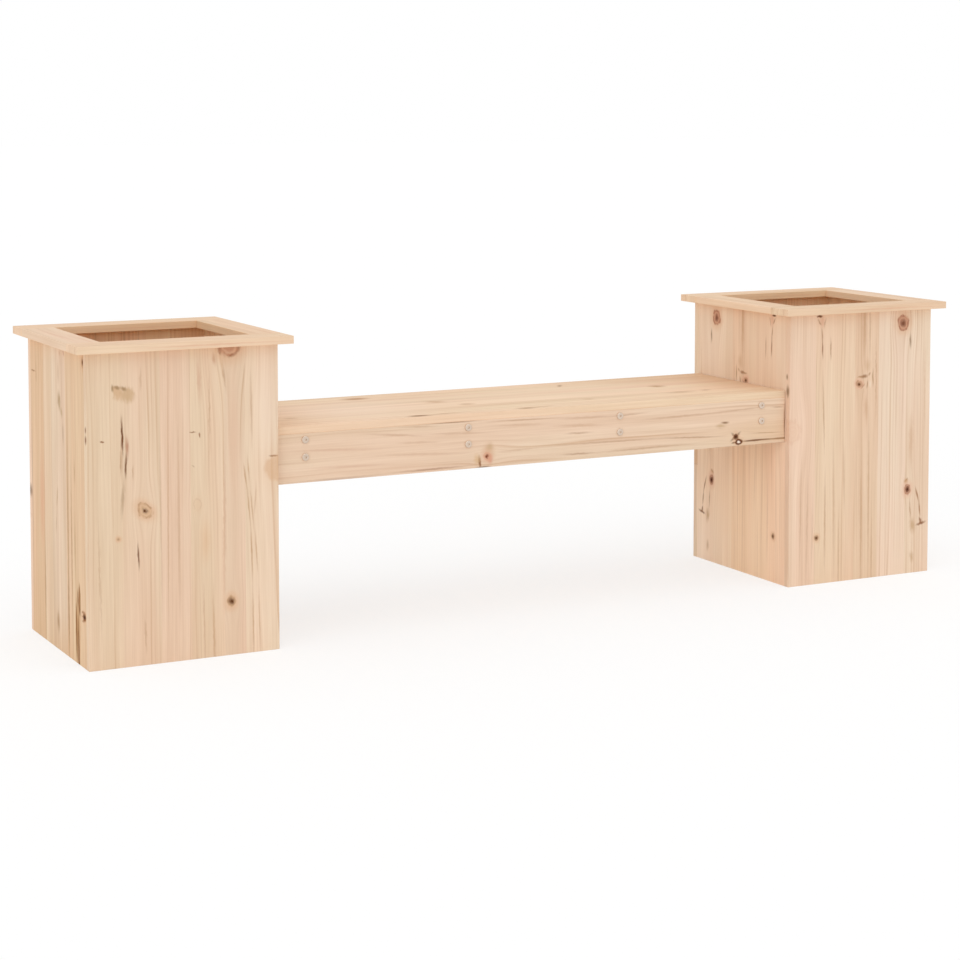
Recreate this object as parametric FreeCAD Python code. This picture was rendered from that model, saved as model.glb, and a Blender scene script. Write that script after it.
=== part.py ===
import FreeCAD, Part
import math
import os

# Garden bench carried between two square planter boxes, all of planed pine boards.
# Millimetres. X runs along the bench, -Y is the front, +Z is up.
# The origin is on the ground, at the middle of the whole bench.
# Both planters and both halves of the bench are alike, mirrored about the plane X = 0.

V = FreeCAD.Vector
Z_AXIS = V(0, 0, 1)
SIDES = {"left": -1, "right": 1}
PARTS_FOLDER = "parts"

# Planter walls: front and back panels cover the edges of the two side panels
box_size = 352.0
wall_height = 551.0
wall_thickness = 14.0

# Rim frame on top of each planter: long front and back boards, side boards butted between them
rim_overhang = 22.0
rim_board_width = 60.0
rim_thickness = 14.0

# Posts in the inside corners of each planter, stopped short below the rim
corner_post_size = 24.0
corner_post_drop = 40.0

# Slatted floor of each planter, on cleats between the corner posts
cleat_width = 24.0
cleat_height = 22.0
cleat_bottom = 30.0
slat_thickness = 14.0
slat_count = 3
slat_gap = 6.0
slat_fit = 0.5

# Bench between the planters, set back by the same amount from their front and back faces
bench_span = 1102.0
bench_end_fit = 0.8
bench_setback = 15.0
seat_top = 398.0
seat_thickness = 14.0
apron_height = 90.0
apron_thickness = 14.0

# Cross battens that tie the two aprons and carry the seat
cross_batten_count = 4
cross_batten_inset = 58.0
cross_batten_width = 28.0
cross_batten_height = 58.0

# Ledgers bolted to the planters, which carry the ends of the seat
ledger_thickness = 28.0
ledger_height = 58.0
ledger_end_fit = 0.5

# Eased edges
show_arris = 0.6
panel_arris = 0.4
batten_arris = 1.0

# Screws that hold the aprons, in pairs, with low round heads and a hexagon socket
apron_screw_length = 60.0
apron_screw_diameter = 6.0
apron_head_diameter = 14.0
apron_head_height = 2.4
apron_head_round = 1.4
apron_socket_size = 4.0
apron_socket_depth = 1.9
apron_screw_drop = 12.0
apron_screw_spacing = 31.5

# Countersunk screws out of sight
small_screw_diameter = 4.0
small_head_diameter = 8.0
small_screw_tip = 4.0
screw_bite = 10.0
post_screw_height = 70.0
post_screw_drop = 71.0
post_screw_stagger = 26.0
cleat_screw_inset = 60.0
slat_screw_edge = 12.0
seat_screw_inset = 60.0
seat_screw_sink = 22.0
seat_screw_sink_diameter = 12.0
ledger_screw_inset = 30.0

# Bolts, washers and nuts between each ledger and its planter
bolt_diameter = 6.0
bolt_head_flats = 10.0
bolt_head_height = 4.0
bolt_tail = 2.0
nut_height = 5.0
washer_diameter = 12.0
washer_thickness = 1.6
bolt_inset = 60.0

# Dowels between the rim and the top edges of the walls
dowel_diameter = 6.0
dowel_length = 24.0
dowel_chamfer = 0.8
dowel_depth_in_rim = 9.0
front_dowel_inset = 80.0
side_dowel_inset = 60.0

# Radial room round every screw, bolt and dowel, and in front of its tip
bore_fit = 0.1

# How far a cutting solid stands past the face that it cuts
cut_past = 1.0

# Worked out from the sizes above
planter_x = bench_span / 2 + box_size / 2
half_box = box_size / 2
half_inner = half_box - wall_thickness
half_rim = half_box + rim_overhang
half_opening = half_rim - rim_board_width
half_bench = bench_span / 2 - bench_end_fit
half_depth = half_box - bench_setback
half_between_aprons = half_depth - apron_thickness
seat_bottom = seat_top - seat_thickness
ledger_x = bench_span / 2 - ledger_thickness / 2
corner_post_top = wall_height - corner_post_drop
cleat_top = cleat_bottom + cleat_height
floor_top = cleat_top + slat_thickness
batten_pitch = (bench_span - 2 * cross_batten_inset) / (cross_batten_count - 1)
first_batten_x = cross_batten_inset - bench_span / 2
batten_stations = [first_batten_x + i * batten_pitch for i in range(cross_batten_count)]


def board(x_range, y_range, z_range, arris):
    """A planed board between the given limits, with all its edges eased by a small chamfer."""
    x0, x1 = sorted(x_range)
    y0, y1 = sorted(y_range)
    z0, z1 = sorted(z_range)
    solid = Part.makeBox(x1 - x0, y1 - y0, z1 - z0, V(x0, y0, z0))
    return solid.makeChamfer(arris, solid.Edges)


def turned(profile):
    """A solid turned about the Z axis from (radius, height) points."""
    points = [V(radius, 0, height) for radius, height in profile]
    wire = Part.makePolygon(points + [points[0]])
    return Part.Face(wire).revolve(V(0, 0, 0), Z_AXIS, 360)


def hexagon(flats, height, base):
    """A hexagonal prism about the Z axis, standing on the height given as base."""
    radius = flats / math.sqrt(3)
    points = []
    for i in range(7):
        angle = math.radians(60 * i)
        points.append(V(radius * math.cos(angle), radius * math.sin(angle), base))
    return Part.Face(Part.makePolygon(points)).extrude(V(0, 0, height))


def placed(solid, point, direction):
    """The solid made about Z, moved to a point with its Z axis turned to a direction."""
    copy = solid.copy()
    copy.Placement = FreeCAD.Placement(point, FreeCAD.Rotation(Z_AXIS, direction))
    return copy


def countersunk_screw(length, grow=0.0):
    """A countersunk screw with its head flush at Z = 0, grown all round to make its own bore."""
    head = small_head_diameter / 2 + grow
    shank = small_screw_diameter / 2 + grow
    cone = head - shank
    end = -length - grow
    tip_start = -length + small_screw_tip - grow
    top = grow
    upper = [(0, top), (head, top), (head, 0), (shank, -cone)]
    lower = [(shank, tip_start), (grow, end), (0, end)]
    return turned(upper + lower)


def apron_screw(grow=0.0):
    """A low round head on a straight shank, with the face of the board at Z = 0."""
    head = apron_head_diameter / 2 + grow
    shank = apron_screw_diameter / 2 + grow
    top = apron_head_height + grow
    shoulder = top - apron_head_round
    end = -apron_screw_length - grow
    rim = head - apron_head_round
    bend = apron_head_round * (1 - math.sqrt(0.5))
    edges = [
        Part.makeLine(V(0, 0, top), V(rim, 0, top)),
        Part.Arc(V(rim, 0, top), V(head - bend, 0, top - bend), V(head, 0, shoulder)).toShape(),
        Part.makeLine(V(head, 0, shoulder), V(head, 0, 0)),
        Part.makeLine(V(head, 0, 0), V(shank, 0, 0)),
        Part.makeLine(V(shank, 0, 0), V(shank, 0, end)),
        Part.makeLine(V(shank, 0, end), V(0, 0, end)),
        Part.makeLine(V(0, 0, end), V(0, 0, top)),
    ]
    return Part.Face(Part.Wire(edges)).revolve(V(0, 0, 0), Z_AXIS, 360)


def apron_screw_with_socket():
    """The finished apron screw."""
    floor = apron_head_height - apron_socket_depth
    socket = hexagon(apron_socket_size, apron_socket_depth + cut_past, floor)
    return apron_screw().cut(socket)


def shaft(diameter, length, start=0.0):
    """A plain round bar about the Z axis."""
    return Part.makeCylinder(diameter / 2, length, V(0, 0, start))


def drilled(solid, bores):
    """The solid with all the bores cut out of it."""
    return solid.cut(Part.makeCompound(bores))


def write(name, solids):
    """One STEP file for a node: a single piece, or a group of like fasteners."""
    group = solids if isinstance(solids, list) else [solids]
    shape = group[0] if len(group) == 1 else Part.makeCompound(group)
    shape.exportStep(os.path.join(PARTS_FOLDER, name + ".step"))


def dowel():
    """A round peg about the Z axis with eased ends."""
    peg = shaft(dowel_diameter, dowel_length)
    return peg.makeChamfer(dowel_chamfer, [edge for edge in peg.Edges if edge.Closed])


def ledger_bolt_sites(side):
    """Where each bolt head bears on the inside of the planter wall, and the way the bolt runs."""
    head_x = side * (bench_span / 2 + wall_thickness)
    height = seat_bottom - ledger_height / 2
    half_ledger = half_between_aprons - bolt_inset
    return [(V(head_x, y, height), V(-side, 0, 0)) for y in (-half_ledger, half_ledger)]


def ledger_bolt_bores(side):
    """Through the planter wall and the ledger."""
    length = wall_thickness + ledger_thickness + 2 * cut_past
    bore = shaft(bolt_diameter + 2 * bore_fit, length, -cut_past)
    return [placed(bore, point, way) for point, way in ledger_bolt_sites(side)]


def planter_panels(side, bores):
    """The four walls of one planter, each drilled for what enters it."""
    x = side * planter_x
    walls = (0, wall_height)
    full = (x - half_box, x + half_box)
    inner = (-half_inner, half_inner)
    outer = (x + side * half_inner, x + side * half_box)
    nearer = (x - side * half_inner, x - side * half_box)
    panels = {
        "front_panel": board(full, (-half_box, -half_inner), walls, panel_arris),
        "back_panel": board(full, (half_inner, half_box), walls, panel_arris),
        "outer_side_panel": board(outer, inner, walls, panel_arris),
        "inner_side_panel": board(nearer, inner, walls, panel_arris),
    }
    return {name: drilled(panel, bores[name]) for name, panel in panels.items()}


def rim_boards(side, bores):
    """The square frame that caps one planter."""
    x = side * planter_x
    height = (wall_height, wall_height + rim_thickness)
    full = (x - half_rim, x + half_rim)
    between = (-half_opening, half_opening)
    outer = (x + side * half_opening, x + side * half_rim)
    nearer = (x - side * half_opening, x - side * half_rim)
    boards = {
        "rim_front_board": board(full, (-half_rim, -half_opening), height, show_arris),
        "rim_back_board": board(full, (half_opening, half_rim), height, show_arris),
        "rim_outer_board": board(outer, between, height, show_arris),
        "rim_inner_board": board(nearer, between, height, show_arris),
    }
    return {name: drilled(rim, bores) for name, rim in boards.items()}


def rim_dowel_sites(side):
    """The foot of each dowel, in the middle of the wall's thickness."""
    x = side * planter_x
    foot = wall_height + dowel_depth_in_rim - dowel_length
    wall_middle = half_box - wall_thickness / 2
    along = half_box - front_dowel_inset
    across = half_opening - side_dowel_inset
    sites = []
    for i in (-1, 1):
        for j in (-1, 1):
            sites.append(V(x + i * along, j * wall_middle, foot))
            sites.append(V(x + i * wall_middle, j * across, foot))
    return sites


def corner_posts(side):
    """The four posts, keyed by the corner that each one stands in."""
    x = side * planter_x
    posts = {}
    for row, j in (("front", -1), ("back", 1)):
        for column, i in (("outer", side), ("inner", -side)):
            across = (x + i * (half_inner - corner_post_size), x + i * half_inner)
            deep = (j * (half_inner - corner_post_size), j * half_inner)
            post = board(across, deep, (0, corner_post_top), batten_arris)
            posts[row + "_" + column + "_corner_post"] = post
    return posts


def corner_screw_sites(side):
    """Screws driven from the inside through each post: two into the long wall and two into the side wall."""
    x = side * planter_x
    middle = half_inner - corner_post_size / 2
    face = half_inner - corner_post_size
    sites = []
    for i in (-1, 1):
        for j in (-1, 1):
            for height in (post_screw_height, corner_post_top - post_screw_drop):
                sites.append((V(x + i * middle, j * face, height), V(0, -j, 0)))
                sites.append((V(x + i * face, j * middle, height + post_screw_stagger), V(-i, 0, 0)))
    return sites


def floor_cleats(side):
    """Two cleats along the front and back walls, between the corner posts."""
    x = side * planter_x
    reach = half_inner - corner_post_size - slat_fit
    height = (cleat_bottom, cleat_top)
    cleats = {}
    for row, j in (("front", -1), ("back", 1)):
        deep = (j * (half_inner - cleat_width), j * half_inner)
        cleats[row + "_floor_cleat"] = board((x - reach, x + reach), deep, height, batten_arris)
    return cleats


def cleat_screw_sites(side):
    """Two screws through each cleat into the wall behind it."""
    x = side * planter_x
    face = half_inner - cleat_width
    middle = cleat_bottom + cleat_height / 2
    reach = half_inner - cleat_screw_inset
    sites = []
    for i in (-1, 1):
        for j in (-1, 1):
            sites.append((V(x + i * reach, j * face, middle), V(0, -j, 0)))
    return sites


def slat_centres(side):
    """Middle of each slat along X, with the slat's width."""
    room = 2 * (half_inner - slat_fit)
    width = (room - (slat_count - 1) * slat_gap) / slat_count
    first = side * planter_x - room / 2 + width / 2
    return [first + i * (width + slat_gap) for i in range(slat_count)], width


def floor_slats(side):
    """Slats that lie on the cleats, cut out round the corner posts where they meet them."""
    centres, width = slat_centres(side)
    reach = half_inner - slat_fit
    notch = corner_post_size + slat_fit
    x = side * planter_x
    notches = []
    for i in (-1, 1):
        for j in (-1, 1):
            low_x = x - half_inner if i < 0 else x + half_inner - notch
            low_y = -half_inner if j < 0 else half_inner - notch
            foot = V(low_x, low_y, cleat_top - cut_past)
            notches.append(Part.makeBox(notch, notch, slat_thickness + 2 * cut_past, foot))
    slats = {}
    for number, centre in enumerate(centres, 1):
        span = (centre - width / 2, centre + width / 2)
        slat = board(span, (-reach, reach), (cleat_top, floor_top), batten_arris)
        slats["floor_slat_" + str(number)] = drilled(slat, notches)
    return slats


def slat_screw_sites(side):
    """One screw at each end of each slat, down into the cleat."""
    centres, _ = slat_centres(side)
    reach = half_inner - slat_screw_edge
    return [(V(centre, j * reach, floor_top), Z_AXIS) for centre in centres for j in (-1, 1)]


def build_planter(side_name):
    """Write every node of one planter box."""
    side = SIDES[side_name]
    post_length = corner_post_size + screw_bite
    cleat_length = cleat_width + screw_bite
    slat_length = slat_thickness + screw_bite
    post_sites = corner_screw_sites(side)
    cleat_sites = cleat_screw_sites(side)
    slat_sites = slat_screw_sites(side)
    dowel_sites = rim_dowel_sites(side)

    post_bores = [placed(countersunk_screw(post_length, bore_fit), *site) for site in post_sites]
    cleat_bores = [placed(countersunk_screw(cleat_length, bore_fit), *site) for site in cleat_sites]
    slat_bores = [placed(countersunk_screw(slat_length, bore_fit), *site) for site in slat_sites]
    dowel_bore = shaft(dowel_diameter + 2 * bore_fit, dowel_length + 2 * bore_fit, -bore_fit)
    dowel_bores = [placed(dowel_bore, site, Z_AXIS) for site in dowel_sites]

    wall_bores = post_bores + cleat_bores + dowel_bores
    bores = {name: wall_bores for name in ("front_panel", "back_panel", "outer_side_panel")}
    bores["inner_side_panel"] = wall_bores + ledger_bolt_bores(side)
    pieces = planter_panels(side, bores)
    pieces.update(rim_boards(side, dowel_bores))
    for name, post in corner_posts(side).items():
        pieces[name] = drilled(post, post_bores)
    for name, cleat in floor_cleats(side).items():
        pieces[name] = drilled(cleat, cleat_bores + slat_bores)
    for name, slat in floor_slats(side).items():
        pieces[name] = drilled(slat, slat_bores)

    pieces["corner_post_screws"] = [placed(countersunk_screw(post_length), *site) for site in post_sites]
    floor_screws = [placed(countersunk_screw(cleat_length), *site) for site in cleat_sites]
    floor_screws += [placed(countersunk_screw(slat_length), *site) for site in slat_sites]
    pieces["floor_screws"] = floor_screws
    pieces["rim_dowels"] = [placed(dowel(), site, Z_AXIS) for site in dowel_sites]
    for name, piece in pieces.items():
        write(side_name + "_planter_" + name, piece)


def apron_screw_sites(row):
    """A pair of screws on each cross batten, one above the other, in the front or the back apron."""
    face = row * half_depth
    heights = [seat_bottom - apron_screw_drop - n * apron_screw_spacing for n in (0, 1)]
    return [(V(x, face, z), V(0, row, 0)) for x in batten_stations for z in heights]


def seat_screw_length():
    """From the floor of the wide hole to the bite in the seat."""
    return cross_batten_height - seat_screw_sink + screw_bite


def seat_screw_sites():
    """Screws driven up into the seat, from deep holes under the cross battens and the ledgers."""
    sites = []
    batten_start = seat_bottom - cross_batten_height + seat_screw_sink
    for x in batten_stations:
        for j in (-1, 1):
            sites.append(V(x, j * (half_between_aprons - seat_screw_inset), batten_start))
    ledger_start = seat_bottom + screw_bite - seat_screw_length()
    for side in SIDES.values():
        for j in (-1, 1):
            sites.append(V(side * ledger_x, j * (half_between_aprons - ledger_screw_inset), ledger_start))
    return [(point, V(0, 0, -1)) for point in sites]


def seat_screw_bores():
    """The bore of each seat screw, with the wide hole that its head goes up through."""
    length = seat_screw_length()
    wide_hole = shaft(seat_screw_sink_diameter, ledger_height + cross_batten_height)
    bores = []
    for point, way in seat_screw_sites():
        bores.append(placed(countersunk_screw(length, bore_fit), point, way))
        bores.append(placed(wide_hole, point, way))
    return bores


def build_bench():
    """Write every node of the seat unit that spans between the planters."""
    ends = (-half_bench, half_bench)
    apron_z = (seat_bottom - apron_height, seat_bottom)
    front_sites = apron_screw_sites(-1)
    back_sites = apron_screw_sites(1)
    apron_bores = [placed(apron_screw(bore_fit), *site) for site in front_sites + back_sites]
    seat_bores = seat_screw_bores()

    seat = board(ends, (-half_depth, half_depth), (seat_bottom, seat_top), show_arris)
    write("seat_board", drilled(seat, seat_bores))
    for name, row in (("front_apron", -1), ("back_apron", 1)):
        deep = (row * half_between_aprons, row * half_depth)
        write(name, drilled(board(ends, deep, apron_z, show_arris), apron_bores))

    batten_z = (seat_bottom - cross_batten_height, seat_bottom)
    between = (-half_between_aprons, half_between_aprons)
    for number, x in enumerate(batten_stations, 1):
        across = (x - cross_batten_width / 2, x + cross_batten_width / 2)
        batten = board(across, between, batten_z, batten_arris)
        write("cross_batten_" + str(number), drilled(batten, apron_bores + seat_bores))

    write("front_apron_screws", [placed(apron_screw_with_socket(), *site) for site in front_sites])
    write("back_apron_screws", [placed(apron_screw_with_socket(), *site) for site in back_sites])
    seat_screw = countersunk_screw(seat_screw_length())
    write("seat_screws", [placed(seat_screw, *site) for site in seat_screw_sites()])


def build_ledgers():
    """Write the ledgers and the bolts, washers and nuts that clamp them to the planters."""
    reach = half_between_aprons - ledger_end_fit
    height = (seat_bottom - ledger_height, seat_bottom)
    clamped = wall_thickness + ledger_thickness
    hole = bolt_diameter + 2 * bore_fit
    washer = shaft(washer_diameter, washer_thickness).cut(shaft(hole, washer_thickness))
    nut = hexagon(bolt_head_flats, nut_height, 0).cut(shaft(hole, nut_height))
    bolt_length = clamped + 2 * washer_thickness + nut_height + bolt_tail
    bolt_shank = shaft(bolt_diameter, bolt_length, -bolt_length)
    bolt = hexagon(bolt_head_flats, bolt_head_height, 0).fuse(bolt_shank)
    bolts = []
    washers = []
    nuts = []
    for side_name, side in SIDES.items():
        inner = side * (bench_span / 2 - ledger_thickness)
        ledger = board((inner, side * bench_span / 2), (-reach, reach), height, batten_arris)
        bores = ledger_bolt_bores(side) + seat_screw_bores()
        write(side_name + "_ledger", drilled(ledger, bores))
        for head, way in ledger_bolt_sites(side):
            out = V(side, 0, 0)
            washers.append(placed(washer, head, out))
            bolts.append(placed(bolt, head + out * washer_thickness, out))
            washers.append(placed(washer, head + way * clamped, way))
            nuts.append(placed(nut, head + way * (clamped + washer_thickness), way))
    write("ledger_bolts", bolts)
    write("ledger_washers", washers)
    write("ledger_nuts", nuts)


os.makedirs(PARTS_FOLDER, exist_ok=True)
for planter in SIDES:
    build_planter(planter)
build_bench()
build_ledgers()
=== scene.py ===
"""Looks of a garden bench that is carried between two square planter boxes.

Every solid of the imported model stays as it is. This script gives each one its finish, stands the
bench on a pale studio floor under soft light, and looks at it from the photograph's place.
"""

import logging
import math
from dataclasses import dataclass, field, replace
from enum import Enum
from functools import partial
from typing import Any, Callable, Optional

import bmesh
import bpy
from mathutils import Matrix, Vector

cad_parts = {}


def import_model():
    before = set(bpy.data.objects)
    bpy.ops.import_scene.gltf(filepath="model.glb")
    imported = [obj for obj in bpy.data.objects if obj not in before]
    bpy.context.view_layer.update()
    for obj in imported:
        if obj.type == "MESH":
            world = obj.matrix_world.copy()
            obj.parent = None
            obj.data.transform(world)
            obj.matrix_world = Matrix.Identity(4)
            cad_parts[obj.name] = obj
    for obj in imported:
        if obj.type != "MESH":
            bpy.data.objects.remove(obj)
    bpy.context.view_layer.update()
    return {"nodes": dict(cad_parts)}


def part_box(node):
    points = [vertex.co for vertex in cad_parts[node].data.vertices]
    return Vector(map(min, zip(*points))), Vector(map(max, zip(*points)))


Colour = tuple[float, float, float, float]
Point = tuple[float, float]
Span = tuple[float, float, float]
Tree = bpy.types.NodeTree
Node = bpy.types.Node
Adder = Callable[..., Node]

MM_PER_METRE = 1000.0
THROUGH = 1.0e5  # reach in millimetres of a mark that goes right through its board
# Inputs of a node that mixes two colours: the share of the upper one, the lower and the upper one
SHARE, LOWER, UPPER = 0, 6, 7
WHITE = (1.0, 1.0, 1.0, 1.0)
log = logging.getLogger("bench")


def linear(code: str) -> Colour:
    """Turn an sRGB hex value to the linear colour that a shader takes.

    Args:
        code: Six hex digits, such as "E4C6A9".

    Returns:
        The linear red, green and blue with an alpha of 1.
    """
    shares = [int(code[i:i + 2], 16) / 255 for i in (0, 2, 4)]
    red, green, blue = (
        share / 12.92 if share <= 0.04045 else ((share + 0.055) / 1.055) ** 2.4
        for share in shares
    )
    return red, green, blue, 1.0


def feed(tree: Tree, inputs: Any, links: dict[Any, Any]) -> None:
    """Link or set inputs of a node.

    Args:
        tree: The node tree that holds the node.
        inputs: The node's inputs.
        links: What each input takes, by its name or number: a socket to link, a node whose first
            output in use is linked, or a value to set.
    """
    for key, value in links.items():
        if isinstance(value, Node):
            value = next(socket for socket in value.outputs if socket.enabled)
        if isinstance(value, bpy.types.NodeSocket):
            tree.links.new(value, inputs[key])
        else:
            inputs[key].default_value = value


def add_node(
    tree: Tree, kind: str, links: Optional[dict[Any, Any]] = None, **settings: Any
) -> Node:
    """Add one node to a tree with its inputs and its settings.

    Args:
        tree: The node tree that takes the node.
        kind: The node's type name, without the ShaderNode in front.
        links: What each input takes, as feed says.
        settings: Properties of the node by name.

    Returns:
        The new node.
    """
    node = tree.nodes.new("ShaderNode" + kind)
    for name, value in settings.items():
        setattr(node, name, value)
    feed(tree, node.inputs, links or {})
    return node


def new_group(
    name: str, inputs: dict[str, str], outputs: dict[str, str]
) -> tuple[Tree, Any, Any]:
    """Start a node group.

    Args:
        name: The group's name.
        inputs: Socket kind of each input by name, such as "Color".
        outputs: Socket kind of each output by name.

    Returns:
        The group, the sockets of what it is given and the sockets of what it gives.
    """
    group = bpy.data.node_groups.new(name, "ShaderNodeTree")
    for way, sockets in (("INPUT", inputs), ("OUTPUT", outputs)):
        for socket, kind in sockets.items():
            group.interface.new_socket(socket, in_out=way, socket_type="NodeSocket" + kind)
    given, out = group.nodes.new("NodeGroupInput"), group.nodes.new("NodeGroupOutput")
    return group, given.outputs, out.inputs


def new_material(name: str) -> tuple[bpy.types.Material, Tree, Any]:
    """Start a material.

    Args:
        name: The material's name.

    Returns:
        The material, its node tree and the inputs of its shader.
    """
    made = bpy.data.materials.new(name)
    made.use_nodes = True
    return made, made.node_tree, made.node_tree.nodes["Principled BSDF"].inputs


class Side(Enum):
    """The two planters, by the sign of their place along the bench."""

    LEFT = -1
    RIGHT = 1


class Face(Enum):
    """Where the show face of a board looks.

    Each value holds three directions for someone who looks at that face: to the right, down, and
    into the board. A direction is the number of its axis and its sign.
    """

    FRONT = ((0, 1), (2, -1), (1, 1))
    BACK = ((0, -1), (2, -1), (1, -1))
    LEFT = ((1, -1), (2, -1), (0, 1))
    RIGHT = ((1, 1), (2, -1), (0, -1))
    TOP = ((0, 1), (1, -1), (2, -1))


class Grain(Enum):
    """Whether the grain runs down the show face or from its left to its right."""

    DOWN = "down"
    ACROSS = "across"


@dataclass(frozen=True)
class Mark:
    """A stain, streak or crack: an ellipse with a soft edge between two points of the show face.

    Points are millimetres to the right and down from the face's upper left corner. The depth is
    that of the mark's middle, and the reach is how far it goes from there.
    """

    start: Point
    end: Point
    width: float
    colour: str
    strength: float
    ragged: float = 1.5
    softness: float = 1.0
    depth: float = 0.0
    reach: float = THROUGH


@dataclass(frozen=True)
class Knot:
    """A knot where a branch grew: a dark core, rings round it, an outline and a tinted halo."""

    at: Point
    radius: float
    stretch: float = 1.25
    turn: float = 0.0
    fill: str = "B98A5F"
    fill_strength: float = 0.5
    outline: str = "8A5B38"
    outline_strength: float = 0.5
    core: str = "562A06"
    core_share: float = 0.5
    core_strength: float = 0.95
    halo: str = "DDB08A"
    halo_strength: float = 0.5
    rings: float = 1.0
    bend: float = 1.0


@dataclass(frozen=True)
class Stave:
    """One strip of an edge-glued board: its width in millimetres, its tint and its own grain."""

    width: float
    tint: str
    grain: float


@dataclass(frozen=True)
class PineLook:
    """What is to be seen on one board: its staves from left to right or top to bottom, its marks
    and its knots."""

    staves: tuple[Stave, ...]
    marks: tuple[Mark, ...] = ()
    knots: tuple[Knot, ...] = ()

    def marked(self, marks: tuple[Mark, ...]) -> "PineLook":
        """The same look with more marks, which lie over the others."""
        return replace(self, marks=self.marks + marks)

    def turned_over(self, place: Callable[[Point], Point]) -> "PineLook":
        """The same look with its marks and knots turned over.

        Args:
            place: Gives the new place of a point.

        Returns:
            The look with its staves as they were.
        """
        marks = tuple(replace(m, start=place(m.start), end=place(m.end)) for m in self.marks)
        knots = tuple(replace(k, at=place(k.at), turn=-k.turn) for k in self.knots)
        return PineLook(self.staves, marks, knots)

    def mirrored(self, width: float) -> "PineLook":
        """The same look in a mirror, as on the other face of a board of this width in mm."""
        turned = self.turned_over(lambda at: (width - at[0], at[1]))
        return replace(turned, staves=self.staves[::-1])

    def upended(self, height: float) -> "PineLook":
        """The same look with its lower end on top, on a board of this height in mm."""
        return self.turned_over(lambda at: (at[0], height - at[1]))


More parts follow.
